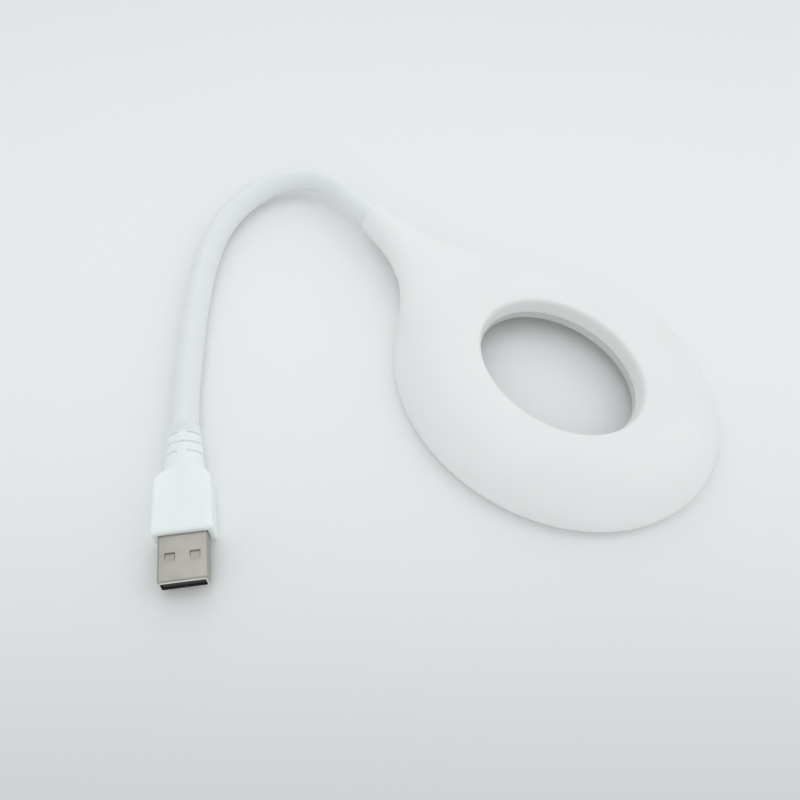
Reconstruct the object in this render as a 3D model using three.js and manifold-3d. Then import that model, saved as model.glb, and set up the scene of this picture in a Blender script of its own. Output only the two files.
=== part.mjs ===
// A USB ring lamp on a gooseneck arm, lying light side down. Millimetres, +Z up.
// The plug lies along Y with its tip towards -Y. The origin is the middle of the underside's box.
import * as THREE from 'three';
import { mergeVertices } from 'three/addons/utils/BufferGeometryUtils.js';
import { RoundedBoxGeometry } from 'three/addons/geometries/RoundedBoxGeometry.js';
import Module from 'manifold-3d';

const wasm = await Module();
wasm.setup();

// ---- Driving dimensions ----

const GAP = 0.3;                    // clearance between neighbouring pieces
const FLOOR_LIFT = 4.0;             // height of the plug's axis above the table

// Plug shell: a standard USB type A tongue of folded sheet
const SHELL = { width: 12.0, height: 4.5, sheet: 0.35, length: 12.3, buried: 5.0 };
const WINDOW = { width: 2.5, length: 2.5, offset: 3.0, fromTip: 5.16 };
const CATCH_DEPTH = 0.3;            // the upper windows are ramps pressed into the sheet, deepest by the grip
const INSULATOR = { width: 11.0, thickness: 1.8, setback: 0.6, buried: 3.5 };
const CONTACT = { width: 1.0, thickness: 0.3, outerX: 3.5, innerX: 1.0, outerSetback: 1.6, innerSetback: 2.6 };
const CARRIER = { width: 10.8, height: 3.2, start: 4.2, length: 6.0 };

// Moulded grip and strain relief
const GRIP = { frontWidth: 15.4, backWidth: 14.3, height: 8.0, length: 16.6, corner: 2.2, edge: 0.8 };
const RELIEF = { start: 20.0, end: 31.6, startRadius: 4.0, endRadius: 4.0, startWide: 5.1, endWide: 4.2 };
const RELIEF_SLIT = { first: 22.7, pitch: 2.85, rows: 3, width: 0.75, depth: 0.9, bridge: 2.2, wide: 3.9 };
const GRIP_BORE = 3.0;

// Arm: a sleeve round a soft steel core and two wires
const SLEEVE = { outer: 3.75, bore: 2.75 };
const CORE = { radius: 1.15, x: 0, y: 1.05 };
const WIRE = { radius: 0.62, x: 1.05, y: -1.15 };
const ARM_ROUTE = [
  [0.0, 31.9, 4.0], [0.3, 42, 3.85], [1.7, 60, 3.85], [3.0, 72, 3.85], [4.6, 82.5, 3.9], [6.8, 93, 4.0],
  [9.9, 102.4, 4.2], [14.6, 110.6, 4.6], [20.8, 117.1, 5.1], [28.2, 121.6, 5.6], [36.4, 122.9, 6.1],
  [43.8, 120.6, 6.5], [49.7, 115.0, 6.9], [54.4, 107.8, 7.2], [59.2, 100.2, 7.3], [82.4, 63.4, 7.3],
];
const BENDS = [12, 41, 70, 99, 128];  // where the arm bends, along it from the strain relief
const BEND_HALF_GAP = 1.25;           // room at each bend on either side of its axis
const SLEEVE_END = 146;               // the sleeve ends inside the collar
const CORE_END = 162;                 // the core ends in the ferrule
const WIRE_END = 182;                 // the wires run on to the board
const SLEEVE_STEP = 4.8;

// Head: an oval ring with a domed top, its axis pointing at the collar
const HEAD = { x: 101.56, y: 32.95, turn: THREE.MathUtils.degToRad(122.2) };
const HOLE = { along: 24.57, across: 18.4 };
const OUTER = { along: 47.7, across: 39.8, shift: 1.3 };
const RIM_HEIGHT = 13.1;
const EDGE_HEIGHT = 2.0;                         // the ring is widest here and tucked in below
const DOME = { power: 2.1, root: 1.5 };
const EDGE_UNDER = { t: 0.991, z: 0.8 };
const FOOT_INSET = 0.968;
const WALL_FOOT = { t: -0.04, z: 8.05 };         // lower edge of the cover's wall inside the hole
const HOLE_LEAN = 0.165;                         // how far the hole moves towards the neck for each mm down
const CAVITY = { start: 0.045, end: 0.93, crown: 11.4, root: 1.8 };
const DIFFUSER = {
  inner: -0.025, outer: 0.9, innerFoot: 4.75, innerTop: 7.75, outerFoot: 0.4, lip: 0.035, sheet: 1.5,
};
const COLLAR_END = 79.5;
const COLLAR_BORE = SLEEVE.outer + GAP;
// Stations along the neck: distance from the hole's centre, half width, half height, height of centre
const NECK = [
  [38, 17.0, 4.6, 5.0], [44, 18.2, 5.0, 5.6], [49, 14.6, 5.2, 6.0], [55, 10.6, 5.2, 6.5],
  [62, 7.8, 5.15, 6.95], [70, 6.0, 5.05, 7.2], [COLLAR_END, 5.0, 5.0, 7.3],
];
const NECK_WALL = 1.4;
const NECK_COVER = { from: 51.0, to: 73.2, top: 5.0 };
const BOARD = { inner: 0.14, outer: 0.56, bottom: 7.7, top: 8.7 };
const LED = { count: 16, t: 0.34, size: 2.8, height: 0.9 };
const RESISTOR = { length: 2.0, width: 1.2, height: 0.6, t: 0.49, angle: 0.17 };
const SCREW = { head: 1.6, headHeight: 0.8, shank: 0.75 };
const BOSS = { radius: 2.2, pilot: 1.05, top: 12.0 };
const BOARD_SCREW = { t: 0.34, headBottom: 6.6, tip: 10.6, angles: [Math.PI / 2, Math.PI * 1.125, Math.PI * 1.875] };
const NECK_SCREW = { u: 53.6, v: 6.6, headBottom: 1.9, tip: 7.6, seat: 3.0, roof: 9.2 };
const FERRULE = { from: 57.0, to: 64.0, radius: 3.1, bore: 2.55 };
const RING_SEGMENTS = 56;
const BOARD_SEGMENTS = 40;

// ---- Materials ----

const plastic = (color, roughness) => new THREE.MeshStandardMaterial({ color, roughness, metalness: 0 });
const metal = (color, roughness) => new THREE.MeshStandardMaterial({ color, roughness, metalness: 1 });
const MATERIALS = {
  cover: plastic(0xe9ebea, 0.5),
  diffuser: plastic(0xe3e6e4, 0.6),
  grip: plastic(0xf2f7f5, 0.45),
  sleeve: plastic(0xdfe3e6, 0.5),
  nickel: metal(0xb7b2aa, 0.3),
  insulator: plastic(0x2c2c2a, 0.5),
  gold: metal(0xd4af5a, 0.3),
  steel: metal(0x9a9c9e, 0.4),
  board: plastic(0xf0f1ee, 0.5),
  led: plastic(0xf2e6a0, 0.35),
  resistor: plastic(0x202022, 0.5),
  redWire: plastic(0xb02a22, 0.5),
  blackWire: plastic(0x1c1c1e, 0.5),
};

// ---- Solids ----

function merged(geometry) {
  const bare = geometry.clone();
  bare.deleteAttribute('normal');
  bare.deleteAttribute('uv');
  bare.clearGroups();
  return mergeVertices(bare, 1e-4);
}

function solid(geometry) {
  const bare = merged(geometry);
  const triVerts = Uint32Array.from(bare.index.array);
  const vertProperties = Float32Array.from(bare.attributes.position.array);
  return new wasm.Manifold(new wasm.Mesh({ numProp: 3, vertProperties, triVerts }));
}

function geometryOf(body) {
  const mesh = body.getMesh();
  const geometry = new THREE.BufferGeometry();
  geometry.setAttribute('position', new THREE.Float32BufferAttribute(mesh.vertProperties, 3));
  geometry.setIndex(Array.from(mesh.triVerts));
  geometry.computeVertexNormals();
  return geometry;
}

const cut = (body, ...tools) => tools.reduce((rest, tool) => rest.subtract(tool), body);
const join = (...bodies) => bodies.reduce((whole, body) => whole.add(body));

// A box from its lowest and highest corners
function box(low, high) {
  const size = high.map((value, i) => value - low[i]);
  const middle = high.map((value, i) => (value + low[i]) / 2);
  return new THREE.BoxGeometry(...size).translate(...middle);
}

// An upright post between two heights
function post(radius, bottom, top, x = 0, y = 0, sides = 12) {
  return new THREE.CylinderGeometry(radius, radius, top - bottom, sides)
    .rotateX(Math.PI / 2)
    .translate(x, y, (top + bottom) / 2);
}

// ---- The oval ring: t runs from 0 at the hole's rim to 1 at the outer edge ----

function ringPoint(t, angle) {
  const along = HOLE.along + (OUTER.along - HOLE.along) * t;
  const across = HOLE.across + (OUTER.across - HOLE.across) * t;
  return [OUTER.shift * t + along * Math.cos(angle), across * Math.sin(angle)];
}

// The hole leans towards the neck as it goes down; the ring's outer parts stay where they are
function holeShift(t, z) {
  const share = THREE.MathUtils.clamp(1 - (t - 0.05) / 0.25, 0, 1);
  return HOLE_LEAN * (RIM_HEIGHT - z) * share;
}

// A closed section of [t, z] points swept once round the hole
function ringGeometry(section, segments = RING_SEGMENTS) {
  const profile = [...section, section[0]].map(([t, z]) => new THREE.Vector2(1 + t, z));
  const geometry = new THREE.LatheGeometry(profile, segments);
  const place = geometry.attributes.position;
  for (let i = 0; i < place.count; i += 1) {
    const t = Math.hypot(place.getX(i), place.getZ(i)) - 1;
    const angle = Math.atan2(-place.getZ(i), place.getX(i));
    const z = place.getY(i);
    const [u, v] = ringPoint(t, angle);
    place.setXYZ(i, u + holeShift(t, z), v, z);
  }
  return merged(geometry);
}

const domeHeight = (t) => EDGE_HEIGHT
  + (RIM_HEIGHT - EDGE_HEIGHT) * (1 - t ** DOME.power) ** (1 / DOME.root);

// Heights on the dome's top, from near the rim out to the edge
function domeSection(steps) {
  const points = [];
  for (let i = 0; i <= steps; i += 1) {
    const t = Math.sin((i / steps) * Math.PI / 2);
    points.push([t, domeHeight(Math.min(t, 1))]);
  }
  return points;
}

function cavitySection(steps) {
  const { start, end, crown, root } = CAVITY;
  const points = [];
  for (let i = 0; i <= steps; i += 1) {
    const t = start + (end - start) * Math.sin((i / steps) * Math.PI / 2);
    points.push([t, crown * (1 - Math.min(t / end, 1) ** DOME.power) ** (1 / root)]);
  }
  return points;
}

// ---- The neck: elliptical sections along the head's axis ----

function neckGeometry(inset, sides = 24) {
  const last = NECK.length - 1;
  const profile = NECK.map(([u]) => new THREE.Vector2(1, u));
  profile.unshift(new THREE.Vector2(0, NECK[0][0]));
  profile.push(new THREE.Vector2(0, NECK[last][0]));
  const geometry = new THREE.LatheGeometry(profile, sides);
  const place = geometry.attributes.position;
  const stations = new Map(NECK.map((station) => [Math.fround(station[0]), station]));
  for (let i = 0; i < place.count; i += 1) {
    const [u, halfWidth, halfHeight, centre] = stations.get(place.getY(i));
    const v = place.getX(i) * (halfWidth - inset);
    const z = centre + place.getZ(i) * (halfHeight - inset);
    place.setXYZ(i, u, -v, z);
  }
  return merged(geometry);
}

// A straight bar along the head's axis
function axisBar(radius, from, to, sides = 16) {
  const height = NECK[NECK.length - 1][3];
  return new THREE.CylinderGeometry(radius, radius, to - from, sides)
    .rotateZ(Math.PI / 2)
    .translate((from + to) / 2, 0, height);
}

// ---- The arm: spans of one smooth curve, kept upright along its length ----

const armRoute = new THREE.CatmullRomCurve3(
  ARM_ROUTE.map(([x, y, z]) => new THREE.Vector3(x, y, z)),
  false,
  'centripetal',
);
armRoute.arcLengthDivisions = 1000;
const armLength = armRoute.getLength();

class ArmSpan extends THREE.Curve {
  constructor(from, to) {
    super();
    this.from = from / armLength;
    this.to = to / armLength;
  }

  getPoint(t, target = new THREE.Vector3()) {
    return armRoute.getPointAt(this.from + (this.to - this.from) * t, target);
  }

  computeFrenetFrames(segments) {
    const up = new THREE.Vector3(0, 0, 1);
    const frames = { tangents: [], normals: [], binormals: [] };
    for (let i = 0; i <= segments; i += 1) {
      const tangent = this.getTangentAt(i / segments).normalize();
      const side = up.clone().cross(tangent).normalize();
      frames.tangents.push(tangent);
      frames.normals.push(side);
      frames.binormals.push(tangent.clone().cross(side).normalize());
    }
    return frames;
  }
}

function armTube({ radius, bore = 0, x = 0, y = 0, sides }, from, to) {
  const shape = new THREE.Shape().absarc(x, y, radius, 0, 2 * Math.PI);
  if (bore > 0) {
    shape.holes.push(new THREE.Path().absarc(x, y, bore, 0, 2 * Math.PI, true));
  }
  return new THREE.ExtrudeGeometry(shape, {
    steps: Math.max(1, Math.ceil((to - from) / SLEEVE_STEP)),
    curveSegments: sides / 2,
    bevelEnabled: false,
    extrudePath: new ArmSpan(from, to),
  });
}

// ---- Building the tree ----

const root = new THREE.Group();
const plug = new THREE.Group();
const arm = new THREE.Group();
const head = new THREE.Group();
plug.position.z = FLOOR_LIFT;
head.position.set(HEAD.x, HEAD.y, 0);
head.rotation.z = HEAD.turn;
root.add(plug, arm, head);

function add(parent, name, geometry, material) {
  const mesh = new THREE.Mesh(geometry, MATERIALS[material]);
  mesh.name = name;
  parent.add(mesh);
  return mesh;
}

// ---- Plug: shell, insulator, contacts, carrier and moulded grip ----

// A bar along X whose section is a list of [y, z] points
function crossBar(section, from, to) {
  const shape = new THREE.Shape(section.map(([y, z]) => new THREE.Vector2(y, z)));
  const [alongX, alongY, alongZ] = [[1, 0, 0], [0, 1, 0], [0, 0, 1]].map((axis) => new THREE.Vector3(...axis));
  return new THREE.ExtrudeGeometry(shape, { depth: to - from, bevelEnabled: false })
    .applyMatrix4(new THREE.Matrix4().makeBasis(alongY, alongZ, alongX))
    .translate(from, 0, 0);
}

function plugShell() {
  const { width, height, sheet, length, buried } = SHELL;
  const halfWidth = width / 2;
  const halfHeight = height / 2;
  let shell = solid(box([-halfWidth, -length, -halfHeight], [halfWidth, buried, halfHeight]));
  const inside = box(
    [-halfWidth + sheet, -length - 1, -halfHeight + sheet],
    [halfWidth - sheet, buried + 1, halfHeight - sheet],
  );
  shell = shell.subtract(solid(inside));
  const near = -length + WINDOW.fromTip;
  const far = near + WINDOW.length;
  const under = halfHeight - sheet;
  const ramp = [[near, under], [far, under - CATCH_DEPTH], [far, under]];
  const recess = [[near, halfHeight], [far, halfHeight - CATCH_DEPTH], [far, halfHeight + 1], [near, halfHeight + 1]];
  for (const side of [-1, 1]) {
    const from = side * WINDOW.offset - WINDOW.width / 2;
    const to = from + WINDOW.width;
    shell = shell.add(solid(crossBar(ramp, from, to)))
      .subtract(solid(crossBar(recess, from, to)))
      .subtract(solid(box([from, near, -height], [to, far, 0])));
  }
  return geometryOf(shell);
}

function insulatorBox() {
  const floor = -SHELL.height / 2 + SHELL.sheet + GAP / 2;
  return box(
    [-INSULATOR.width / 2, -SHELL.length + INSULATOR.setback, floor],
    [INSULATOR.width / 2, INSULATOR.buried, floor + INSULATOR.thickness],
  );
}

function contactStrip(x, setback) {
  const top = -SHELL.height / 2 + SHELL.sheet + GAP / 2 + INSULATOR.thickness;
  return box(
    [x - CONTACT.width / 2, -SHELL.length + setback, top + GAP / 2],
    [x + CONTACT.width / 2, INSULATOR.buried, top + GAP / 2 + CONTACT.thickness],
  );
}

function carrierBlock() {
  const { width, height, start, length } = CARRIER;
  return box([-width / 2, start, -height / 2], [width / 2, start + length, height / 2]);
}

// The grip's plan outline with its shoulders, extruded through its height
function gripBody() {
  const { frontWidth, backWidth, height, length, corner, edge } = GRIP;
  const front = frontWidth / 2 - edge;
  const back = backWidth / 2 - edge;
  const outline = new THREE.Shape();
  outline.moveTo(-front, edge);
  outline.lineTo(front, edge);
  outline.lineTo(back, length - corner);
  outline.quadraticCurveTo(back, length, back - corner, length + 1);
  outline.lineTo(-back + corner, length + 1);
  outline.quadraticCurveTo(-back, length, -back, length - corner);
  outline.lineTo(-front, edge);
  return new THREE.ExtrudeGeometry(outline, {
    depth: height - 2 * edge,
    curveSegments: 5,
    bevelThickness: edge,
    bevelSize: edge,
    bevelSegments: 2,
  }).translate(0, 0, -height / 2 + edge);
}

// The strain relief: an oval bar that narrows towards the sleeve
function reliefBody() {
  const profile = [
    [0, GRIP.length - 3], [1, GRIP.length - 3], [1, RELIEF.end - 0.8], [0.9, RELIEF.end], [0, RELIEF.end],
  ].map(([radius, y]) => new THREE.Vector2(radius, y));
  const geometry = new THREE.LatheGeometry(profile, 24);
  const place = geometry.attributes.position;
  for (let i = 0; i < place.count; i += 1) {
    const share = THREE.MathUtils.clamp((place.getY(i) - RELIEF.start) / (RELIEF.end - RELIEF.start), 0, 1);
    const wide = THREE.MathUtils.lerp(RELIEF.startWide, RELIEF.endWide, share);
    const tall = THREE.MathUtils.lerp(RELIEF.startRadius, RELIEF.endRadius, share);
    place.setXYZ(i, place.getX(i) * wide, place.getY(i), place.getZ(i) * tall);
  }
  return geometry;
}

// Slits over and under the strain relief: split rows at the ends, a whole one between them
function reliefSlits() {
  const slits = [];
  for (let row = 0; row < RELIEF_SLIT.rows; row += 1) {
    const y = RELIEF_SLIT.first + row * RELIEF_SLIT.pitch;
    const split = row % 2 === 0;
    for (const face of [-1, 1]) {
      const low = face > 0 ? RELIEF.endRadius - RELIEF_SLIT.depth : -RELIEF.endRadius - 1;
      const high = low + RELIEF_SLIT.depth + 1;
      const spans = split
        ? [[-6, -RELIEF_SLIT.bridge / 2], [RELIEF_SLIT.bridge / 2, 6]]
        : [[-RELIEF_SLIT.wide, RELIEF_SLIT.wide]];
      for (const [from, to] of spans) {
        slits.push(box([from, y - RELIEF_SLIT.width / 2, low], [to, y + RELIEF_SLIT.width / 2, high]));
      }
    }
  }
  return slits;
}

function overmold() {
  const shellRoom = box(
    [-SHELL.width / 2 - GAP, -1, -SHELL.height / 2 - GAP],
    [SHELL.width / 2 + GAP, CARRIER.start + CARRIER.length + GAP, SHELL.height / 2 + GAP],
  );
  const bore = new THREE.CylinderGeometry(GRIP_BORE, GRIP_BORE, RELIEF.end, 16)
    .translate(0, RELIEF.end / 2 + CARRIER.start + 2, 0);
  const body = join(solid(gripBody()), solid(reliefBody()));
  return geometryOf(cut(body, solid(shellRoom), solid(bore), ...reliefSlits().map(solid)));
}

add(plug, 'plug_shell', plugShell(), 'nickel');
add(plug, 'plug_insulator', insulatorBox(), 'insulator');
add(plug, 'contact_vbus', contactStrip(-CONTACT.outerX, CONTACT.outerSetback), 'gold');
add(plug, 'contact_data_minus', contactStrip(-CONTACT.innerX, CONTACT.innerSetback), 'gold');
add(plug, 'contact_data_plus', contactStrip(CONTACT.innerX, CONTACT.innerSetback), 'gold');
add(plug, 'contact_ground', contactStrip(CONTACT.outerX, CONTACT.outerSetback), 'gold');
add(plug, 'plug_carrier', carrierBlock(), 'insulator');
add(plug, 'overmold', overmold(), 'grip');

// ---- Arm: six spans between the bends, each a sleeve, a core and two wires ----

const starts = [GAP, ...BENDS.map((bend) => bend + BEND_HALF_GAP)];
for (const [i, from] of starts.entries()) {
  const last = i === BENDS.length;
  const sleeveTo = last ? SLEEVE_END : BENDS[i] - BEND_HALF_GAP;
  const coreTo = last ? CORE_END : sleeveTo;
  const wireTo = last ? WIRE_END : sleeveTo;
  const sleeve = { radius: SLEEVE.outer, bore: SLEEVE.bore, sides: 16 };
  add(arm, `arm_sleeve_${i + 1}`, armTube(sleeve, from, sleeveTo), 'sleeve');
  add(arm, `arm_core_${i + 1}`, armTube({ ...CORE, sides: 8 }, from, coreTo), 'steel');
  add(arm, `wire_red_${i + 1}`, armTube({ ...WIRE, sides: 8 }, from, wireTo), 'redWire');
  add(arm, `wire_black_${i + 1}`, armTube({ ...WIRE, x: -WIRE.x, sides: 8 }, from, wireTo), 'blackWire');
}

// ---- Head: cover, diffuser, neck cover, board, lights, resistors, screws and ferrule ----

const boardScrews = () => BOARD_SCREW.angles.map((angle) => ringPoint(BOARD_SCREW.t, angle));
const neckScrews = () => [-1, 1].map((side) => [NECK_SCREW.u, side * NECK_SCREW.v]);

function topCover() {
  const dome = domeSection(8);
  const section = [
    [WALL_FOOT.t, 0], [FOOT_INSET, 0], [EDGE_UNDER.t, EDGE_UNDER.z], ...dome.reverse(),
    [WALL_FOOT.t, WALL_FOOT.z],
  ];
  const outside = join(solid(ringGeometry(section)), solid(neckGeometry(0)));
  const cavity = [...cavitySection(6), [CAVITY.end, -1], [-0.06, -1], [-0.06, WALL_FOOT.z], [0.02, WALL_FOOT.z]];
  const neckRoom = solid(neckGeometry(NECK_WALL))
    .intersect(solid(box([30, -30, 2.3], [COLLAR_END - 5, 30, 20])));
  const sleeveRoom = solid(axisBar(COLLAR_BORE, COLLAR_END - 8, COLLAR_END + 2, 20));
  const coverRoom = box([NECK_COVER.from - GAP, -30, -2], [NECK_COVER.to + GAP, 30, NECK_COVER.top + GAP]);
  const shell = cut(outside, solid(ringGeometry(cavity.reverse())), neckRoom, sleeveRoom, solid(coverRoom));
  const bosses = [
    ...boardScrews().map(([x, y]) => [x, y, BOARD.top + GAP, BOSS.top]),
    ...neckScrews().map(([x, y]) => [x, y, NECK_COVER.top + GAP, NECK_SCREW.roof]),
  ];
  const posts = bosses.map(([x, y, bottom, top]) => solid(post(BOSS.radius, bottom, top, x, y, 16)));
  const pilots = bosses.map(([x, y, bottom, top]) => solid(post(BOSS.pilot, bottom - 1, top - 1, x, y)));
  return geometryOf(cut(join(shell, ...posts), ...pilots));
}

function diffuserRing() {
  const { inner, outer, innerFoot, innerTop, outerFoot, lip, sheet } = DIFFUSER;
  const section = [
    [inner, innerFoot], [outer, outerFoot], [outer, outerFoot + sheet],
    [lip, innerFoot + sheet], [lip, innerTop], [inner, innerTop],
  ];
  return ringGeometry(section);
}

function neckCover() {
  const slab = box([NECK_COVER.from, -30, -1], [NECK_COVER.to, 30, NECK_COVER.top]);
  const outside = solid(neckGeometry(0));
  const shell = cut(outside.intersect(solid(slab)), solid(neckGeometry(NECK_WALL)));
  const pads = neckScrews().map(([x, y]) => (
    solid(post(BOSS.radius, 0, NECK_COVER.top, x, y, 16)).intersect(outside)
  ));
  const holes = neckScrews().flatMap(([x, y]) => [
    solid(post(BOSS.pilot, -1, NECK_COVER.top + 1, x, y)),
    solid(post(SCREW.head + GAP, -1, NECK_SCREW.seat, x, y, 16)),
  ]);
  return geometryOf(cut(join(shell, ...pads), ...holes));
}

function ledBoard() {
  const { inner, outer, bottom, top } = BOARD;
  const sheet = ringGeometry([[inner, bottom], [outer, bottom], [outer, top], [inner, top]], BOARD_SEGMENTS);
  const holes = boardScrews().map(([x, y]) => solid(post(BOSS.pilot, bottom - 1, top + 1, x, y)));
  return geometryOf(cut(solid(sheet), ...holes));
}

// A small block under the board, turned to face outward
function underBoard(length, width, height, t, angle) {
  const [u, v] = ringPoint(t, angle);
  const top = BOARD.bottom - GAP;
  return new THREE.BoxGeometry(length, width, height)
    .rotateZ(angle)
    .translate(u, v, top - height / 2);
}

// A screw driven upwards, with its head below
function screw([x, y], { headBottom, tip }) {
  const { head: headRadius, headHeight, shank } = SCREW;
  const headTop = headBottom + headHeight;
  const profile = [
    [0, headBottom], [headRadius, headBottom], [headRadius, headTop], [shank, headTop], [shank, tip], [0, tip],
  ].map(([radius, z]) => new THREE.Vector2(radius, z));
  return new THREE.LatheGeometry(profile, 12).rotateX(Math.PI / 2).translate(x, y, 0);
}

function ferrule() {
  const { from, to, radius, bore } = FERRULE;
  return geometryOf(solid(axisBar(radius, from, to)).subtract(solid(axisBar(bore, from - 1, to + 1))));
}

add(head, 'top_cover', topCover(), 'cover');
add(head, 'diffuser', diffuserRing(), 'diffuser');
add(head, 'neck_cover', neckCover(), 'cover');
add(head, 'led_board', ledBoard(), 'board');
for (let i = 0; i < LED.count; i += 1) {
  const angle = (2 * Math.PI * (i + 0.5)) / LED.count;
  const geometry = underBoard(LED.size, LED.size, LED.height, LED.t, angle);
  add(head, `led_${String(i + 1).padStart(2, '0')}`, geometry, 'led');
}
for (const [i, angle] of [-RESISTOR.angle, RESISTOR.angle].entries()) {
  const geometry = underBoard(RESISTOR.length, RESISTOR.width, RESISTOR.height, RESISTOR.t, angle);
  add(head, `resistor_${i + 1}`, geometry, 'resistor');
}
for (const [i, place] of boardScrews().entries()) {
  add(head, `board_screw_${i + 1}`, screw(place, BOARD_SCREW), 'steel');
}
for (const [i, place] of neckScrews().entries()) {
  add(head, `neck_screw_${i + 1}`, screw(place, NECK_SCREW), 'steel');
}
add(head, 'arm_ferrule', ferrule(), 'steel');

// ---- The whole part stands on its lowest face, with the origin under its middle ----

const bounds = new THREE.Box3().setFromObject(root, true);
const middle = bounds.getCenter(new THREE.Vector3());
const part = new THREE.Group();
root.position.set(-middle.x, -middle.y, -bounds.min.z);
part.add(root);

export default part;
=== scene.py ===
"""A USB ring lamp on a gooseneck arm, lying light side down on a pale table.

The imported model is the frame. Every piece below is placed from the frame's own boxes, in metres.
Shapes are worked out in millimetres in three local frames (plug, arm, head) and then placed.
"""

import math

import bpy
import numpy as np
from mathutils import Matrix, Vector


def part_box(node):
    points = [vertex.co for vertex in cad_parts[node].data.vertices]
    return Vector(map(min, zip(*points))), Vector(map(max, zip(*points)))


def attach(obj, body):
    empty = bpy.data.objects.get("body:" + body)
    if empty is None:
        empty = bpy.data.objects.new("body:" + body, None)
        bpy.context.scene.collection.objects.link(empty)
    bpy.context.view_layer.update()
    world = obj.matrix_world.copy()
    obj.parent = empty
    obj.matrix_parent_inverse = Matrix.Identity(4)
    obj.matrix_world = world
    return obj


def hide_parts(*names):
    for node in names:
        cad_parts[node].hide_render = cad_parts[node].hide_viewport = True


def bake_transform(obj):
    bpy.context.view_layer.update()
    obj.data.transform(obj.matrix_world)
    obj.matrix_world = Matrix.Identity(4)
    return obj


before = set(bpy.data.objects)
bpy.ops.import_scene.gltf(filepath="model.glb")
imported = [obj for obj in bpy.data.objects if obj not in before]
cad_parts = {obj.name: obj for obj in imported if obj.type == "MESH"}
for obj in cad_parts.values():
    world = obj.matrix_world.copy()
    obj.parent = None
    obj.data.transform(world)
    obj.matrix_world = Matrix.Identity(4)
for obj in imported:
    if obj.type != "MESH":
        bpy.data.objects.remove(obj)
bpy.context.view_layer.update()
MM = 0.001


# ---------------------------------------------------------------- frames

def plug_origin():
    """The middle of the grip's front face, on the plug's axis, in millimetres."""
    low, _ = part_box("overmold")
    shell_low, shell_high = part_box("plug_shell")
    across = (shell_low.x + shell_high.x) / 2
    up = (shell_low.z + shell_high.z) / 2
    return Vector((across, low.y, up)) / MM


PLUG = Matrix.Translation(plug_origin())

HEAD_TURN = math.radians(122.2)


def head_origin():
    """The middle of the ring's hole on the table, found from the board, which is shifted along the neck."""
    low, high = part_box("led_board")
    middle = (low + high) / 2 / MM
    shift = OUTER_SHIFT * BOARD_OUTER
    return Vector((middle.x - shift * math.cos(HEAD_TURN), middle.y - shift * math.sin(HEAD_TURN), 0))


# The ring: t is 0 at the hole's rim and 1 at the outer edge (millimetres)
HOLE_ALONG, HOLE_ACROSS = 24.57, 18.4
OUTER_ALONG, OUTER_ACROSS, OUTER_SHIFT = 47.7, 39.8, 1.3
OUTER_GROWTH = 0.7
BOARD_OUTER = 0.56
RIM_HEIGHT, EDGE_HEIGHT = 13.1, 2.7
DOME_POWER, DOME_ROOT, DOME_ROUNDNESS = 2.1, 1.5, 1.8
FOOT_TUCK = 0.065
WALL_FOOT_T, FOOT_TOP = -0.04, 8.05
WALL_TAPER = -WALL_FOOT_T / (RIM_HEIGHT - FOOT_TOP)
HOLE_LEAN = 0.165
LEAN_FULL, LEAN_FADE = 0.05, 0.25
# The search for t: its range, its step for slopes and the least slope it divides by
SHARE_LOW, SHARE_HIGH, SHARE_STEP, FLATTEST_SLOPE = -0.7, 2.0, 0.01, -0.05
COLLAR_END = 79.5
COLLAR_BORE = 3.86
# Along the neck: distance from the hole's centre, half width, half height, height of centre
NECK = np.array([
    [38, 17.0, 4.6, 5.0], [44, 18.2, 5.0, 5.6], [49, 14.6, 5.2, 6.0], [55, 10.6, 5.2, 6.5],
    [62, 7.8, 5.15, 6.95], [70, 6.0, 5.05, 7.2], [COLLAR_END, 5.0, 5.0, 7.3],
])
NECK_SAMPLES, NECK_SMOOTHING = 120, 9
NECK_COVER_FROM, NECK_COVER_TO, NECK_COVER_TOP = 51.0, 73.2, 5.0

HEAD = Matrix.Translation(head_origin()) @ Matrix.Rotation(HEAD_TURN, 4, "Z")


# ---------------------------------------------------------------- mesh tools

def place(name, points, faces, matrix, smooth_angle=40):
    """A mesh object from millimetre points in a local frame, put in the row frame in metres."""
    points = np.asarray(points, float)
    turned = points @ np.array(matrix.to_3x3()).T + np.array(matrix.translation)
    mesh = bpy.data.meshes.new(name)
    mesh.from_pydata((turned * MM).tolist(), [], [list(map(int, face)) for face in faces])
    mesh.validate()
    mesh.shade_smooth()
    if smooth_angle is not None:
        mesh.set_sharp_from_angle(angle=math.radians(smooth_angle))
    piece = bpy.data.objects.new(name, mesh)
    bpy.context.scene.collection.objects.link(piece)
    return piece


# Moving points onto a surface: how often, and how far apart slopes are measured as a share of a cell
SETTLE_ROUNDS, SETTLE_PROBE = 4, 0.02
# A rounded corner takes up at most this share of the edges beside it
CORNER_REACH = 0.45


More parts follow.
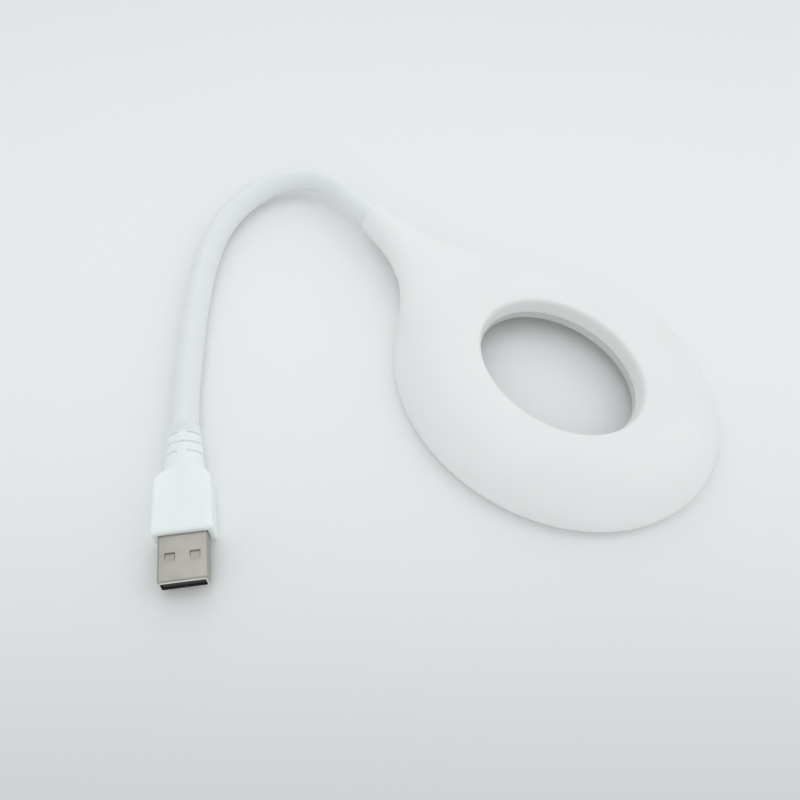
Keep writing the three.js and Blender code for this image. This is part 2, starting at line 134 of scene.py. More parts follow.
def surface(field, low, high, cell):
    """The zero surface of a signed field as quads: one point in each cell it crosses, then moved onto it."""
    axes = [np.arange(a - cell, b + 2 * cell, cell) for a, b in zip(low, high)]
    x, y, z = np.meshgrid(*axes, indexing="ij")
    values = field(x, y, z)
    inside = values < 0
    shape = [n - 1 for n in values.shape]
    total = np.zeros((*shape, 3))
    count = np.zeros(shape)
    corners = [(i, j, k) for i in (0, 1) for j in (0, 1) for k in (0, 1)]
    for a in range(8):
        for b in range(a + 1, 8):
            step = np.subtract(corners[b], corners[a])
            if np.abs(step).sum() != 1:
                continue
            slot_a = tuple(slice(c, c + n) for c, n in zip(corners[a], shape))
            slot_b = tuple(slice(c, c + n) for c, n in zip(corners[b], shape))
            value_a, value_b = values[slot_a], values[slot_b]
            crossed = (value_a < 0) != (value_b < 0)
            share = np.where(crossed, value_a / np.where(crossed, value_a - value_b, 1), 0)
            for axis in range(3):
                total[..., axis] += np.where(crossed, corners[a][axis] + share * step[axis], 0)
            count += crossed
    used = count > 0
    index = np.full(shape, -1)
    index[used] = np.arange(used.sum())
    cells = np.argwhere(used)
    points = (cells + total[used] / count[used][:, None]) * cell + [axis[0] for axis in axes]
    points = settle(field, points, cell)
    faces = []
    for axis in range(3):
        first, second = [(1, 2), (2, 0), (0, 1)][axis]
        span = [slice(1, n) for n in shape]
        span[axis] = slice(0, shape[axis])
        start = inside[tuple(slice(s.start, s.stop) for s in span)]
        ahead = [slice(s.start, s.stop) for s in span]
        ahead[axis] = slice(1, shape[axis] + 1)
        end = inside[tuple(ahead)]
        change = np.argwhere(start != end)
        leaving = start[tuple(change.T)]
        base = change + [s.start for s in span]
        ring = []
        for da, db in ((0, 0), (1, 0), (1, 1), (0, 1)):
            cell_index = base.copy()
            cell_index[:, first] -= da
            cell_index[:, second] -= db
            ring.append(index[tuple(cell_index.T)])
        ring = np.stack(ring, axis=1)
        ring[leaving] = ring[leaving][:, ::-1]
        faces.append(ring[:, ::-1])
    return points, np.concatenate(faces)


def settle(field, points, cell):
    """Moves points onto the field's zero surface along its slope."""
    small = cell * SETTLE_PROBE
    for _ in range(SETTLE_ROUNDS):
        x, y, z = points.T
        value = field(x, y, z)
        slope = np.stack([
            field(x + small, y, z) - field(x - small, y, z),
            field(x, y + small, z) - field(x, y - small, z),
            field(x, y, z + small) - field(x, y, z - small),
        ], axis=1) / (2 * small)
        size = np.maximum((slope ** 2).sum(axis=1), 0.05)
        move = -(value / size)[:, None] * slope
        length = np.linalg.norm(move, axis=1, keepdims=True)
        points = points + move * np.minimum(1, 0.5 * cell / np.maximum(length, 1e-9))
    return points


def field_piece(name, field, box, cells, matrix, smooth_angle):
    cell = cells[1]
    points, faces = surface(field, *box, cell)
    return place(name, points, faces, matrix, smooth_angle)


def both(a, b, round_by=0.0):
    """Where both fields are solid, with the edge between them rounded."""
    if round_by <= 0:
        return np.maximum(a, b)
    blend = np.maximum(round_by - np.abs(a - b), 0) / round_by
    return np.maximum(a, b) + blend * blend * round_by / 4


def either(a, b, round_by=0.0):
    """Where either field is solid, with the corner between them filled."""
    return -both(-a, -b, round_by)


def swept_ring(section, segments, place_point):
    """A closed section carried once round; place_point(section, angles) gives the points."""
    angles = np.linspace(0, 2 * math.pi, segments, endpoint=False)
    points = place_point(np.asarray(section, float), angles)
    return points.reshape(-1, 3), ring_faces(segments, len(section))


def ring_faces(segments, around):
    """Quads of a torus grid: segments along it, around across it."""
    faces = []
    for i in range(segments):
        j = (i + 1) % segments
        for a in range(around):
            b = (a + 1) % around
            faces.append((i * around + a, j * around + a, j * around + b, i * around + b))
    return faces


def rounded_corners(outline, radius, steps=4):
    """A closed 2-D outline with each corner turned into an arc-like curve."""
    outline = [np.asarray(point, float) for point in outline]
    result = []
    for i, corner in enumerate(outline):
        before, after = outline[i - 1], outline[(i + 1) % len(outline)]
        reach_a = min(radius, np.linalg.norm(before - corner) * CORNER_REACH)
        reach_b = min(radius, np.linalg.norm(after - corner) * CORNER_REACH)
        start = corner + (before - corner) / np.linalg.norm(before - corner) * reach_a
        end = corner + (after - corner) / np.linalg.norm(after - corner) * reach_b
        for s in np.linspace(0, 1, steps + 1):
            result.append((1 - s) ** 2 * start + 2 * s * (1 - s) * corner + s ** 2 * end)
    return np.array(result)


# ---------------------------------------------------------------- materials

class Nodes:
    """A material's node tree with short ways to add and join nodes."""

    def __init__(self, name):
        """Starts a new material from its principled shader."""
        self.material = bpy.data.materials.new(name)
        self.material.use_nodes = True
        self.tree = self.material.node_tree
        self.shader = self.tree.nodes["Principled BSDF"]

    def add(self, kind, **settings):
        """A new node with its settings."""
        node = self.tree.nodes.new(kind)
        for key, value in settings.items():
            setattr(node, key, value)
        return node

    def link(self, source, target):
        """Joins an output to an input."""
        self.tree.links.new(source, target)

    def where(self):
        """The point's place on its object."""
        return self.add("ShaderNodeTexCoord").outputs["Object"]

    def noise(self, scale, detail, roughness, stretch=None):
        """Noise fixed to the object, drawn out along an axis where its stretch is small."""
        node = self.add("ShaderNodeTexNoise")
        node.inputs["Scale"].default_value = scale
        node.inputs["Detail"].default_value = detail
        node.inputs["Roughness"].default_value = roughness
        source = self.where()
        if stretch is not None:
            mapping = self.add("ShaderNodeMapping")
            mapping.inputs["Scale"].default_value = stretch
            self.link(source, mapping.inputs["Vector"])
            source = mapping.outputs["Vector"]
        self.link(source, node.inputs["Vector"])
        return node.outputs["Fac"]

    def ramp(self, factor, stops, blend="LINEAR"):
        """A colour that goes through stops of (position, colour)."""
        node = self.add("ShaderNodeValToRGB")
        node.color_ramp.interpolation = blend
        elements = node.color_ramp.elements
        while len(elements) < len(stops):
            elements.new(0.5)
        for element, (position, colour) in zip(elements, stops):
            element.position = position
            element.color = colour
        self.link(factor, node.inputs["Fac"])
        return node.outputs["Color"]

    def between(self, factor, low, high):
        """The factor spread from low to high."""
        node = self.add("ShaderNodeMapRange")
        node.inputs["To Min"].default_value = low
        node.inputs["To Max"].default_value = high
        self.link(factor, node.inputs["Value"])
        return node.outputs["Result"]

    def bump(self, layers):
        """layers are (height, strength, distance in metres), one laid over another."""
        normal = None
        for height, strength, distance in layers:
            node = self.add("ShaderNodeBump")
            node.inputs["Strength"].default_value = strength
            node.inputs["Distance"].default_value = distance
            self.link(height, node.inputs["Height"])
            if normal is not None:
                self.link(normal, node.inputs["Normal"])
            normal = node.outputs["Normal"]
        self.link(normal, self.shader.inputs["Normal"])


def shade(colour, factor):
    """The colour made lighter or darker, with full alpha."""
    return (*[min(1.0, channel * factor) for channel in colour], 1.0)


PLASTIC_SPECULAR = 0.45
SCATTER_RADIUS = (1.0, 0.9, 0.8)


def moulded_plastic(name, colour, roughness, grain, grain_size, subsurface=0.0, depth=0.0012):
    """Moulded plastic: slow colour drift, fine mould grain, and gloss that varies a little."""
    nodes = Nodes(name)
    drift = nodes.noise(55, 3, 0.5)
    nodes.link(
        nodes.ramp(drift, [(0.3, shade(colour, 0.985)), (0.7, shade(colour, 1.01))]),
        nodes.shader.inputs["Base Color"],
    )
    wear = nodes.noise(240, 4, 0.6)
    nodes.link(nodes.between(wear, roughness - 0.05, roughness + 0.06), nodes.shader.inputs["Roughness"])
    nodes.shader.inputs["Specular IOR Level"].default_value = PLASTIC_SPECULAR
    if subsurface > 0:
        nodes.shader.inputs["Subsurface Weight"].default_value = subsurface
        nodes.shader.inputs["Subsurface Radius"].default_value = SCATTER_RADIUS
        nodes.shader.inputs["Subsurface Scale"].default_value = depth
    fine = nodes.noise(grain_size, 3, 0.6)
    wave = nodes.noise(38, 2, 0.5)
    nodes.bump([(wave, 0.12, 0.00008), (fine, grain, 0.00002)])
    return nodes.material


SCRATCH_STRENGTH = 0.35


def plated_metal(name, colour, roughness, stretch):
    """Plated sheet: drawn lines along one way, cloudy tint and fine scratches."""
    nodes = Nodes(name)
    cloud = nodes.noise(170, 3, 0.55)
    tint = nodes.ramp(cloud, [(0.3, shade(colour, 0.9)), (0.7, shade(colour, 1.06))])
    nodes.link(tint, nodes.shader.inputs["Base Color"])
    nodes.shader.inputs["Metallic"].default_value = 1.0
    lines = nodes.noise(900, 4, 0.7, stretch=stretch)
    nodes.link(nodes.between(lines, roughness - 0.07, roughness + 0.1), nodes.shader.inputs["Roughness"])
    nodes.bump([(lines, SCRATCH_STRENGTH, 0.000012), (cloud, 0.15, 0.00003)])
    return nodes.material


def wire_jacket(name, colour):
    """A wire's soft jacket, with a little drift in its colour."""
    nodes = Nodes(name)
    drift = nodes.noise(400, 2, 0.5)
    nodes.link(
        nodes.ramp(drift, [(0.3, shade(colour, 0.85)), (0.7, shade(colour, 1.1))]),
        nodes.shader.inputs["Base Color"],
    )
    nodes.shader.inputs["Roughness"].default_value = 0.42
    nodes.bump([(drift, 0.2, 0.00003)])
    return nodes.material


def phosphor_lamp(name):
    """The lights' phosphor lens: yellow, a little glossy, with fine spots."""
    nodes = Nodes(name)
    spots = nodes.noise(1500, 2, 0.5)
    nodes.link(
        nodes.ramp(spots, [(0.3, (0.86, 0.66, 0.2, 1)), (0.7, (0.93, 0.78, 0.32, 1))]),
        nodes.shader.inputs["Base Color"],
    )
    nodes.shader.inputs["Roughness"].default_value = 0.3
    nodes.shader.inputs["Subsurface Weight"].default_value = 0.2
    nodes.shader.inputs["Subsurface Scale"].default_value = 0.0006
    nodes.bump([(spots, 0.1, 0.00002)])
    return nodes.material


COVER_COLOUR = (0.878, 0.877, 0.87)
DIFFUSER_COLOUR = (0.69, 0.69, 0.68)
GRIP_COLOUR = (0.90, 0.94, 0.925)
SLEEVE_COLOUR = (0.83, 0.845, 0.85)
NICKEL_COLOUR = (0.44, 0.42, 0.38)

COVER = moulded_plastic("cover_plastic", COVER_COLOUR, 0.42, 0.10, 2600, subsurface=0.08)
DIFFUSER = moulded_plastic("diffuser_plastic", DIFFUSER_COLOUR, 0.5, 0.08, 2000, subsurface=0.5)
GRIP = moulded_plastic("grip_plastic", GRIP_COLOUR, 0.5, 0.12, 3000, subsurface=0.3, depth=0.002)
SLEEVE = moulded_plastic("sleeve_plastic", SLEEVE_COLOUR, 0.38, 0.06, 1800, subsurface=0.12)
INSULATOR = moulded_plastic("insulator_plastic", (0.035, 0.034, 0.031), 0.45, 0.1, 2500)
BOARD = moulded_plastic("board_mask", (0.82, 0.83, 0.8), 0.4, 0.15, 1800)
CHIP = moulded_plastic("resistor_body", (0.02, 0.02, 0.022), 0.4, 0.2, 2500)
NICKEL = plated_metal("plug_nickel", NICKEL_COLOUR, 0.34, (1.0, 0.05, 1.0))
# A lighter metal for the shell's cut tip edge: a painted highlight, standing in for the light the lips
# reflect
TIP_HIGHLIGHT_METAL = plated_metal("sheet_edge_painted_highlight", (0.80, 0.78, 0.73), 0.3, (1.0, 1.0, 0.05))  # where the sheet is cut
GOLD = plated_metal("contact_gold", (0.83, 0.62, 0.26), 0.25, (1.0, 0.05, 1.0))
STEEL = plated_metal("drawn_steel", (0.5, 0.5, 0.51), 0.38, (1.0, 1.0, 0.1))
RED = wire_jacket("red_jacket", (0.5, 0.03, 0.025))
BLACK = wire_jacket("black_jacket", (0.02, 0.02, 0.022))
PHOSPHOR = phosphor_lamp("phosphor_lens")


def finish_piece(piece, material, replaced):
    """Gives a piece its material and hides the CAD nodes that it stands for."""
    piece.data.materials.clear()
    piece.data.materials.append(material)
    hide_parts(*replaced)
    return piece


# ---------------------------------------------------------------- head

# Walls and roundings of the two covers; the seat is the cover's room for the diffuser
COVER_WALL, FOOT_WALL, NECK_COVER_WALL = 1.6, 1.3, 1.4
SEAT_EDGE, SEAT_TOP = 0.92, 2.4
RIM_ROUNDING, FLOOR_ROUNDING, COLLAR_ROUNDING = 1.3, 0.5, 0.9
NECK_START_ROUNDING, NECK_BLEND = 4.0, 7.0
NECK_FLOOR_ROUNDING = 0.4
COLLAR_WALL, COLLAR_BORE_DEPTH = 5, 9
HAIRLINE, GAP_PAST_HOLE = 0.12, 10
NECK_SCREW_U, NECK_SCREW_V, NECK_SCREW_SEAT = 53.6, 6.6, 3.0
SCREW_PAD, SCREW_HOLE, SCREW_HEAD_ROOM = 2.2, 1.05, 1.9
COVER_BOX, COVER_CELLS = ((-48, -41, -0.5), (81, 41, 14)), (0.8, 0.42)
NECK_COVER_BOX, NECK_COVER_CELLS = ((50, -15, 0), (74.5, 15, 6)), (0.6, 0.3)
# The diffuser's section: share of the ring's width and height in millimetres
DIFFUSER_OUTLINE = [(-0.025, 4.75), (0.9, 0.4), (0.9, 1.9), (0.035, 6.85), (0.035, 7.75), (-0.025, 7.75)]
DIFFUSER_SCALE = np.array([22.0, 1.0])
DIFFUSER_CORNER, DIFFUSER_SEGMENTS = 0.45, 240


def ring_place(t):
    """Half lengths and shift of the oval at t."""
    along = HOLE_ALONG + (OUTER_ALONG - HOLE_ALONG) * t
    across = HOLE_ACROSS + (OUTER_ACROSS - HOLE_ACROSS) * t
    return along, across, OUTER_SHIFT * t


def ring_share(u, v, rounds=5):
    """t at a point in plan, by Newton's method, and the ring's width there in millimetres."""
    def error(t):
        along, across, shift = ring_place(t)
        return np.sqrt(((u - shift) / along) ** 2 + (v / across) ** 2) - 1

    t = np.zeros_like(u)
    for _ in range(rounds):
        value = error(t)
        slope = (error(t + SHARE_STEP) - value) / SHARE_STEP
        t = np.clip(t - value / np.minimum(slope, FLATTEST_SLOPE), SHARE_LOW, SHARE_HIGH)
    angle = np.arctan2(v, u)
    along = (OUTER_ALONG - HOLE_ALONG) * np.cos(angle)
    across = (OUTER_ACROSS - HOLE_ACROSS) * np.sin(angle)
    return t, np.hypot(along, across) + OUTER_SHIFT * np.cos(angle)


def hole_shift(t, z):
    """The hole leans towards the neck as it goes down; the ring's outer parts stay where they are."""
    return HOLE_LEAN * (RIM_HEIGHT - z) * np.clip(1 - (t - LEAN_FULL) / LEAN_FADE, 0, 1)


def leaning_share(u, v, z):
    """ring_share for a point at height z, with the hole's lean taken out."""
    upright, _ = ring_share(u, v, 3)
    return ring_share(u - hole_shift(upright, z), v)


def dome_field(t, width, z):
    """Rough signed distance to the domed top and the outer wall, which is tucked in below its widest line."""
    rise = np.maximum(z - EDGE_HEIGHT, 0) / (RIM_HEIGHT - EDGE_HEIGHT)
    below = np.clip((EDGE_HEIGHT - z) / EDGE_HEIGHT, 0, 1)
    out = np.maximum(t - OUTER_GROWTH / width, 0) + FOOT_TUCK * below ** 2
    value = (rise ** DOME_ROOT + out ** DOME_POWER) ** (1 / DOME_ROUNDNESS) - 1
    slope_z = 1 / (RIM_HEIGHT - EDGE_HEIGHT)
    slope_t = 1 / width
    lean = rise / np.maximum(rise + out, 1e-6)
    return value / (slope_z * lean + slope_t * (1 - lean))


def wall_field(t, width, z):
    """The wall of the hole: the hole narrows as it goes down from the rim."""
    return -(t + WALL_TAPER * (RIM_HEIGHT - z)) * width


def neck_sizes(u):
    """Half width, half height and centre height of the neck, smooth along it."""
    here = np.clip(u, NECK[0, 0], COLLAR_END)
    fine = np.linspace(NECK[0, 0], COLLAR_END, NECK_SAMPLES)
    kernel = np.hanning(2 * NECK_SMOOTHING + 1)
    sizes = []
    for column in (1, 2, 3):
        line = np.interp(fine, NECK[:, 0], NECK[:, column])
        padded = np.pad(line, NECK_SMOOTHING, mode="reflect", reflect_type="odd")
        sizes.append(np.interp(here, fine, np.convolve(padded, kernel / kernel.sum(), "valid")))
    return sizes


def neck_field(u, v, z):
    """Rough signed distance to the neck's oval sides, without its ends."""
    half_width, half_height, centre = neck_sizes(u)
    across = v / half_width
    up = (z - centre) / half_height
    reach = np.sqrt(across ** 2 + up ** 2)
    slope = np.sqrt((across / half_width) ** 2 + (up / half_height) ** 2) / np.maximum(reach, 1e-6)
    return (reach - 1) / np.maximum(slope, 1 / half_width)


def head_outside(u, v, z, t, width):
    """The whole head without its flat underside."""
    ring = both(dome_field(t, width, z), wall_field(t, width, z), RIM_ROUNDING)
    neck = both(neck_field(u, v, z), NECK[0, 0] - u, NECK_START_ROUNDING)
    return either(ring, neck, NECK_BLEND)


def cover_field(u, v, z):
    """The top cover: a shell with a seat for the diffuser, the arm's bore and a gap for the neck cover."""
    t, width = leaning_share(u, v, z)
    outside = head_outside(u, v, z, t, width)
    solid = both(both(outside, -z, FLOOR_ROUNDING), u - COLLAR_END, COLLAR_ROUNDING)
    room = both(outside + COVER_WALL, u - (COLLAR_END - COLLAR_WALL), FLOOR_ROUNDING)
    foot = both(z - FOOT_TOP, t * width - FOOT_WALL)
    seat = both(z - SEAT_TOP, (t - SEAT_EDGE) * width)
    bore = both(np.hypot(v, z - NECK[-1, 3]) - COLLAR_BORE, (COLLAR_END - COLLAR_BORE_DEPTH) - u)
    slab = both(
        np.maximum(NECK_COVER_FROM - HAIRLINE - u, u - NECK_COVER_TO - HAIRLINE),
        z - NECK_COVER_TOP - HAIRLINE,
    )
    slab = both(slab, -(t * width) + GAP_PAST_HOLE)
    for hollow, edge in ((room, 0.3), (foot, 0.35), (seat, 0.2), (bore, 0.3), (slab, 0.1)):
        solid = both(solid, -hollow, edge)
    return solid


def neck_cover_field(u, v, z):
    """The neck's underside: a shell with two screw pads, their holes and the screw heads' seats."""
    t, width = leaning_share(u, v, z)
    outside = head_outside(u, v, z, t, width)
    shell = both(both(outside, -z, NECK_FLOOR_ROUNDING), -(outside + NECK_COVER_WALL), 0.3)
    slab = both(np.maximum(NECK_COVER_FROM - u, u - NECK_COVER_TO), z - NECK_COVER_TOP, 0.1)
    solid = both(shell, slab, 0.15)
    for side in (-1, 1):
        reach = np.hypot(u - NECK_SCREW_U, v - side * NECK_SCREW_V)
        pad = both(both(reach - SCREW_PAD, z - NECK_COVER_TOP), outside)
        solid = either(solid, pad, 0.3)
        solid = both(solid, -both(reach - SCREW_HOLE, -(z + NECK_COVER_TOP)), 0.2)
        solid = both(solid, -both(reach - SCREW_HEAD_ROOM, z - NECK_SCREW_SEAT), 0.2)
    return solid


def build_cover():
    """The head's upper cover with its neck and collar."""
    piece = field_piece("head_cover", cover_field, COVER_BOX, COVER_CELLS, HEAD, 50)
    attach(piece, "head")
    return finish_piece(piece, COVER, ["top_cover"])


def build_neck_cover():
    """The cover that closes the neck from below."""
    piece = field_piece("neck_underside", neck_cover_field, NECK_COVER_BOX, NECK_COVER_CELLS, HEAD, 50)
    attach(piece, "head")
    return finish_piece(piece, COVER, ["neck_cover"])


def ring_section_points(section, angles):
    """[t, z] section points at each angle, in the head's frame."""
    along, across, shift = ring_place(section[:, 0])
    shift = shift + hole_shift(section[:, 0], section[:, 1])
    u = shift[None, :] + along[None, :] * np.cos(angles)[:, None]
    v = across[None, :] * np.sin(angles)[:, None]
    z = np.broadcast_to(section[:, 1], u.shape)
    return np.stack([u, v, z], axis=-1)


def build_diffuser():
    """The diffuser: a sloping sheet whose inner edge stands up as the lower band of the hole's wall."""
    outline = np.array(DIFFUSER_OUTLINE) * DIFFUSER_SCALE
    section = rounded_corners(outline, DIFFUSER_CORNER) / DIFFUSER_SCALE
    points, faces = swept_ring(section, DIFFUSER_SEGMENTS, ring_section_points)
    piece = place("diffuser_ring", points, faces, HEAD, 40)
    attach(piece, "head")
    return finish_piece(piece, DIFFUSER, ["diffuser"])


# ---------------------------------------------------------------- plug

# Millimetres from the middle of the grip's front face: x across, y towards the arm, z up
GRIP_FRONT, GRIP_BACK, GRIP_HEIGHT, GRIP_LENGTH = 15.4, 14.3, 8.0, 17.4
GRIP_EDGE, GRIP_BLEND = 1.1, 1.6
# The grip's upright corners grow rounder over its back half
CORNER_FRONT, CORNER_GROWTH, CORNER_RUN = 0.7, 2.4, 4
RELIEF_START, RELIEF_END = 20.0, 31.6
RELIEF_WIDE, RELIEF_TAPER, RELIEF_TALL = 5.1, 0.9, 4.0
FLARE_SIZE, FLARE_PAST, FLARE_LENGTH = 0.6, 1.5, 4.5
RELIEF_OVERLAP = 2.0
SLIT_FIRST, SLIT_PITCH, SLIT_ROWS, SLIT_WIDTH, SLIT_DEPTH = 22.7, 2.85, 3, 0.5, 0.6
SLIT_BRIDGE = 2.3
SLIT_SIDE = 0.6
SOCKET_RADIUS, SOCKET_DEPTH = 3.8, 2.6
SHELL_ROOM_HALF_WIDTH, SHELL_ROOM_HALF_HEIGHT = 6.05, 2.3
SHELL_ROOM_MIDDLE, SHELL_ROOM_REACH = 4.5, 6.0
WIRE_BORE, WIRE_BORE_FROM = 3.0, 8
GRIP_BOX, GRIP_CELLS = ((-8.2, -0.4, -4.4), (8.2, 32.2, 4.4)), (0.4, 0.16)


def round_box(x, y, half_x, half_y, radius):
    """2-D rounded rectangle."""
    qx = np.abs(x) - half_x + radius
    qy = np.abs(y) - half_y + radius
    return np.hypot(np.maximum(qx, 0), np.maximum(qy, 0)) + np.minimum(np.maximum(qx, qy), 0) - radius


def relief_reach(x, y, z):
    """How far outside the strain relief's oval section a point is, without its ends."""
    along = np.clip((y - RELIEF_START) / (RELIEF_END - RELIEF_START), 0, 1)
    flare = FLARE_SIZE * np.clip((RELIEF_START + FLARE_PAST - y) / FLARE_LENGTH, 0, 1) ** 2
    wide = RELIEF_WIDE - RELIEF_TAPER * along + flare
    radius = np.sqrt((x / wide) ** 2 + (z / RELIEF_TALL) ** 2)
    slope = np.sqrt((x / wide ** 2) ** 2 + (z / RELIEF_TALL ** 2) ** 2) / np.maximum(radius, 1e-6)
    return (radius - 1) / np.maximum(slope, 1 / wide)


def grip_field(x, y, z):
    """The moulded grip: a tapered block with rounded shoulders, run into the oval strain relief."""
    share = np.clip(y / GRIP_LENGTH, 0, 1)
    half = (GRIP_FRONT + (GRIP_BACK - GRIP_FRONT) * share) / 2
    middle = GRIP_LENGTH / 2
    corner = CORNER_FRONT + CORNER_GROWTH * np.clip((y - middle) / CORNER_RUN, 0, 1)
    side = round_box(x, y - middle, half, middle, corner) + GRIP_EDGE
    top = np.abs(z) - GRIP_HEIGHT / 2 + GRIP_EDGE
    block = np.hypot(np.maximum(side, 0), np.maximum(top, 0))
    block = block + np.minimum(np.maximum(side, top), 0) - GRIP_EDGE
    relief = both(relief_reach(x, y, z), y - RELIEF_END, 0.7)
    relief = both(relief, GRIP_LENGTH - RELIEF_OVERLAP - y, 1.5)
    return np.maximum(either(block, relief, GRIP_BLEND), np.abs(z) - GRIP_HEIGHT / 2)


def slit_field(x, y, z, row):
    """A slit in the relief's skin: bridged above and below in the outer rows, at the sides in between."""
    at = SLIT_FIRST + row * SLIT_PITCH
    skin = -SLIT_DEPTH - relief_reach(x, y, z)
    slit = both(np.abs(y - at) - SLIT_WIDTH / 2, skin, 0.2)
    bridge = np.abs(x) if row % 2 == 0 else np.abs(z) + SLIT_SIDE
    return both(slit, SLIT_BRIDGE / 2 - bridge, 0.35)


def overmold_field(x, y, z):
    """The grip and relief with room for the shell, the wires and the sleeve, and the slits cut in."""
    solid = grip_field(x, y, z)
    across = np.maximum(np.abs(x) - SHELL_ROOM_HALF_WIDTH, np.abs(z) - SHELL_ROOM_HALF_HEIGHT)
    shell_room = np.maximum(across, np.abs(y - SHELL_ROOM_MIDDLE) - SHELL_ROOM_REACH)
    bore = both(np.hypot(x, z) - WIRE_BORE, WIRE_BORE_FROM - y)
    socket = both(np.hypot(x, z) - SOCKET_RADIUS, RELIEF_END - SOCKET_DEPTH - y)
    for hollow, edge in ((shell_room, 0.12), (bore, 0.2), (socket, 0.1)):
        solid = both(solid, -hollow, edge)
    for row in range(SLIT_ROWS):
        solid = both(solid, -slit_field(x, y, z, row), 0.25)
    return solid


def build_overmold():
    """The plug's moulded grip with its strain relief."""
    piece = field_piece("plug_grip", overmold_field, GRIP_BOX, GRIP_CELLS, PLUG, 50)
    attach(piece, "plug")
    return finish_piece(piece, GRIP, ["overmold"])


# The shell's sheet, its windows below and its catches above, which share one outline
SHELL_HALF_WIDTH, SHELL_HALF_HEIGHT, SHELL_SHEET = 6.0, 2.25, 0.35
SHELL_TIP, SHELL_BACK, SHELL_FOLD = -12.3, 5.0, 0.55
WINDOW_X, WINDOW_SIZE, WINDOW_FROM_TIP, WINDOW_CORNER = 3.0, 2.5, 5.16, 0.2
CATCH_DEPTH, CATCH_FLANK, CATCH_STEP = 0.42, 0.14, 0.1
TIP_LENGTH, TIP_PINCH = 1.0, 0.3
SEAM_HALF, SEAM_DEPTH = 0.04, 2.6
# How close to the tip, and how far forward a face must point, to get the painted highlight
HIGHLIGHT_BAND, HIGHLIGHT_FACING = 0.15, -0.4
SHELL_BOX, SHELL_CELLS = ((-6.2, -12.5, -2.45), (6.2, 5.2, 2.45)), (0.2, 0.09)


def sheet_skin(x, y, z):
    """Outside of the folded sheet: rounded folds, a pinched tip and two ramped catches above."""
    tip = np.clip((SHELL_TIP + TIP_LENGTH - y) / TIP_LENGTH, 0, 1)
    pinch = TIP_PINCH * tip ** 2
    near = SHELL_TIP + WINDOW_FROM_TIP
    share = np.clip((y - near) / WINDOW_SIZE, 0, 1)
    inside_x = np.clip((WINDOW_SIZE / 2 - np.abs(np.abs(x) - WINDOW_X)) / CATCH_FLANK, 0, 1)
    inside_y = np.clip((near + WINDOW_SIZE - y) / CATCH_STEP, 0, 1)
    dent = np.where(z > 0, CATCH_DEPTH * share * inside_x * inside_y, 0)
    return round_box(x, z + dent, SHELL_HALF_WIDTH - pinch, SHELL_HALF_HEIGHT - pinch, SHELL_FOLD)


def shell_field(x, y, z):
    """The plug's shell: a folded sheet with two catches above, two windows below and a seam."""
    outside = sheet_skin(x, y, z)
    solid = both(both(outside, -outside - SHELL_SHEET), np.maximum(SHELL_TIP - y, y - SHELL_BACK), 0.1)
    near = SHELL_TIP + WINDOW_FROM_TIP + WINDOW_SIZE / 2
    window = round_box(np.abs(x) - WINDOW_X, y - near, WINDOW_SIZE / 2, WINDOW_SIZE / 2, WINDOW_CORNER)
    solid = both(solid, -np.maximum(window, z), 0.08)
    seam = np.maximum(np.abs(x) - SEAM_HALF, z)
    return both(solid, -np.maximum(seam, -z - SEAM_DEPTH))


def build_shell():
    """The shell, with the sheet's cut edge at the tip in a lighter metal of its own, a painted highlight for
    the bright lips.
    """
    piece = field_piece("plug_shell_sheet", shell_field, SHELL_BOX, SHELL_CELLS, PLUG, 35)
    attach(piece, "plug")
    finish_piece(piece, NICKEL, ["plug_shell"])
    piece.data.materials.append(TIP_HIGHLIGHT_METAL)
    tip = (plug_origin().y + SHELL_TIP) * MM
    # Forward-facing faces at the tip get the lighter metal of the painted highlight
    for face in piece.data.polygons:
        if face.center.y < tip + HIGHLIGHT_BAND * MM and face.normal.y < HIGHLIGHT_FACING:
            face.material_index = 1
    return piece


# ---------------------------------------------------------------- arm

SAMPLES_PER_SPAN = 60
FRAME_REACH = 0.4
STRAND_STEPS = (1.2, 0.6)


def catmull(points):
    """A centripetal Catmull-Rom curve through points, as a dense line."""
    points = [np.asarray(p, float) for p in points]
    points = [2 * points[0] - points[1], *points, 2 * points[-1] - points[-2]]
    line = []
    for i in range(1, len(points) - 2):
        p0, p1, p2, p3 = points[i - 1:i + 3]
        knots = [0.0]
        for a, b in ((p0, p1), (p1, p2), (p2, p3)):
            knots.append(knots[-1] + math.sqrt(np.linalg.norm(b - a)))
        t0, t1, t2, t3 = knots
        for t in np.linspace(t1, t2, SAMPLES_PER_SPAN, endpoint=False):
            a1 = (t1 - t) / (t1 - t0) * p0 + (t - t0) / (t1 - t0) * p1
            a2 = (t2 - t) / (t2 - t1) * p1 + (t - t1) / (t2 - t1) * p2
            a3 = (t3 - t) / (t3 - t2) * p2 + (t - t2) / (t3 - t2) * p3
            b1 = (t2 - t) / (t2 - t0) * a1 + (t - t0) / (t2 - t0) * a2
            b2 = (t3 - t) / (t3 - t1) * a2 + (t - t1) / (t3 - t1) * a3
            line.append((t2 - t) / (t2 - t1) * b1 + (t - t1) / (t2 - t1) * b2)
    line.append(points[-2])
    return np.array(line)


# The arm's route from the grip's front face, in millimetres, as in the part's own source
ARM_ROUTE = [
    (0.0, 31.9, 4.0), (0.3, 42, 3.85), (1.7, 60, 3.85), (3.0, 72, 3.85), (4.6, 82.5, 3.9), (6.8, 93, 4.0),
    (9.9, 102.4, 4.2), (14.6, 110.6, 4.6), (20.8, 117.1, 5.1), (28.2, 121.6, 5.6), (36.4, 122.9, 6.1),
    (43.8, 120.6, 6.5), (49.7, 115.0, 6.9), (54.4, 107.8, 7.2), (59.2, 100.2, 7.3), (82.4, 63.4, 7.3),
]
# Distances along the arm: its hinges and the ends of each strand
BENDS = [12, 41, 70, 99, 128]
ARM_LEAD = 4.0
SLEEVE_FROM, SLEEVE_END, CORE_END, WIRE_END = -2.6, 146, 162, 182
SLEEVE_OUTER, SLEEVE_BORE = 3.75, 2.75
CORE_RADIUS, CORE_AT = 1.15, (0.0, 1.05)
WIRE_RADIUS, WIRE_AT = 0.62, (1.05, -1.15)


